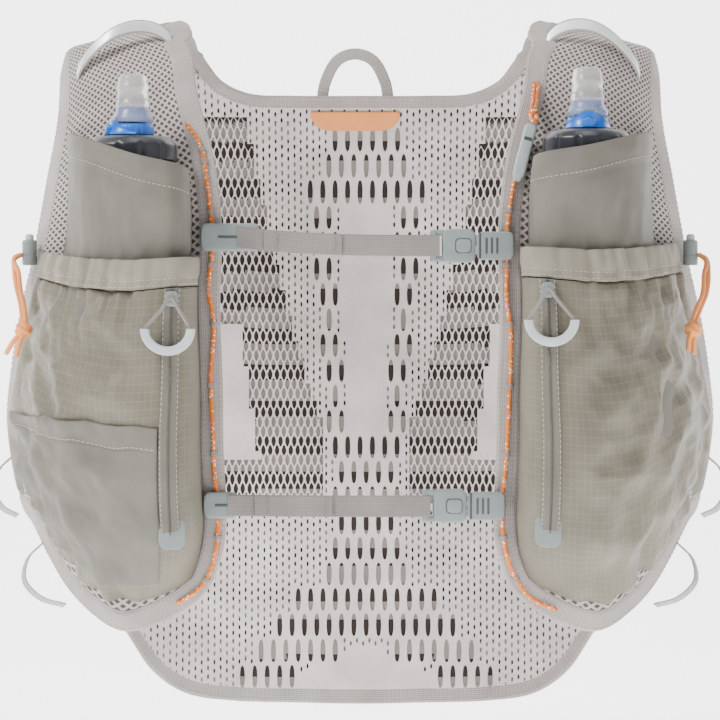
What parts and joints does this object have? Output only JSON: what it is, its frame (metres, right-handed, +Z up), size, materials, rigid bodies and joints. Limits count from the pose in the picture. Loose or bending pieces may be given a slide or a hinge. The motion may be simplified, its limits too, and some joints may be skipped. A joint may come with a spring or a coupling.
{
  "type": "running hydration vest",
  "caption": "Knitted running vest with pocketed front panels, soft flasks with bite valves, sternum straps, laced edges and a whistle.",
  "frame": {"origin": "midway between the tops of the shoulders, where the vest rests on its wearer", "axes": "+Z up, +X to the viewer's right as the front is seen (the wearer's left), -Y towards the front"},
  "size_m": [0.4432, 0.2801, 0.4286],
  "materials": {
    "spacer_knit": "knitted",
    "binding_tape": "woven tape",
    "shoulder_mesh": "open mesh",
    "stretch_woven": "stretch weave",
    "ripstop": "ripstop weave",
    "flask_film": "clear film",
    "cap_plastic": "moulded",
    "blue_plastic": "moulded",
    "silicone": "translucent",
    "pale_plastic": "moulded",
    "lace": "braided",
    "elastic": "braided",
    "reflective_tape": "coated tape",
    "grey_webbing": "woven webbing",
    "label_film": "bonded film",
    "acetal": "moulded"
  },
  "bodies": {
    "vest": {"back_panel": "spacer_knit", "neck_binding": "binding_tape", "back_hem_binding": "binding_tape", "front_panel_left": "shoulder_mesh", "side_panel_left": "spacer_knit", "placket_left": "binding_tape", "armhole_binding_left": "binding_tape", "bottle_pocket_left": "stretch_woven", "cargo_pocket_left": "ripstop", "pocket_hem_left": "ripstop", "zip_tape_left": "ripstop", "zip_slider_left": "acetal", "zip_pull_left": "pale_plastic", "flask_body_left": "flask_film", "flask_cap_left": "cap_plastic", "bite_valve_left": "silicone", "stretch_pocket": "stretch_woven", "stretch_pocket_hem": "stretch_woven", "cord_lock_barrel_left": "acetal", "front_panel_right": "shoulder_mesh", "side_panel_right": "spacer_knit", "placket_right": "binding_tape", "armhole_binding_right": "binding_tape", "bottle_pocket_right": "stretch_woven", "cargo_pocket_right": "ripstop", "pocket_hem_right": "ripstop", "zip_tape_right": "ripstop", "zip_slider_right": "acetal", "zip_pull_right": "pale_plastic", "flask_body_right": "flask_film", "flask_cap_right": "cap_plastic", "bite_valve_right": "silicone", "cord_lock_barrel_right": "acetal", "edge_lace_left": "lace", "edge_lace_right": "lace", "whistle_cord": "lace", "whistle": "pale_plastic", "sternum_webbing_upper": "grey_webbing", "sternum_hook_upper": "acetal", "buckle_socket_upper": "acetal", "buckle_plug_upper": "acetal", "sternum_webbing_lower": "grey_webbing", "sternum_hook_lower": "acetal", "buckle_socket_lower": "acetal", "buckle_plug_lower": "acetal", "hang_loop": "grey_webbing", "neck_label": "label_film", "shoulder_loop_left": "reflective_tape", "shoulder_loop_right": "reflective_tape", "side_loop_upper_left": "grey_webbing", "side_loop_lower_left": "grey_webbing", "side_loop_upper_right": "grey_webbing", "side_loop_lower_right": "grey_webbing", "elastic_cord_left": "elastic", "elastic_cord_right": "elastic"},
    "dial_left": {"valve_dial_left": "blue_plastic"},
    "dial_right": {"valve_dial_right": "blue_plastic"},
    "button_left": {"cord_lock_button_left": "acetal"},
    "button_right": {"cord_lock_button_right": "acetal"}
  },
  "joints": [
    {"name": "dial_turn_left", "type": "hinge", "parent": "vest", "child": "dial_left", "pos_m": [-0.1315, -0.10516, -0.08], "axis": [0, 0, 1], "range_deg": [0, 90]},
    {"name": "dial_turn_right", "type": "hinge", "parent": "vest", "child": "dial_right", "pos_m": [0.1315, -0.10516, -0.08], "axis": [0, 0, 1], "range_deg": [0, 90]},
    {"name": "lock_press_left", "type": "slide", "parent": "vest", "child": "button_left", "axis": [0, 0, -1], "range_m": [0, 0.003], "stiffness_N_per_m": 300, "springref_m": -0.003},
    {"name": "lock_press_right", "type": "slide", "parent": "vest", "child": "button_right", "axis": [0, 0, -1], "range_m": [0, 0.003], "stiffness_N_per_m": 300, "springref_m": -0.003}
  ]
}
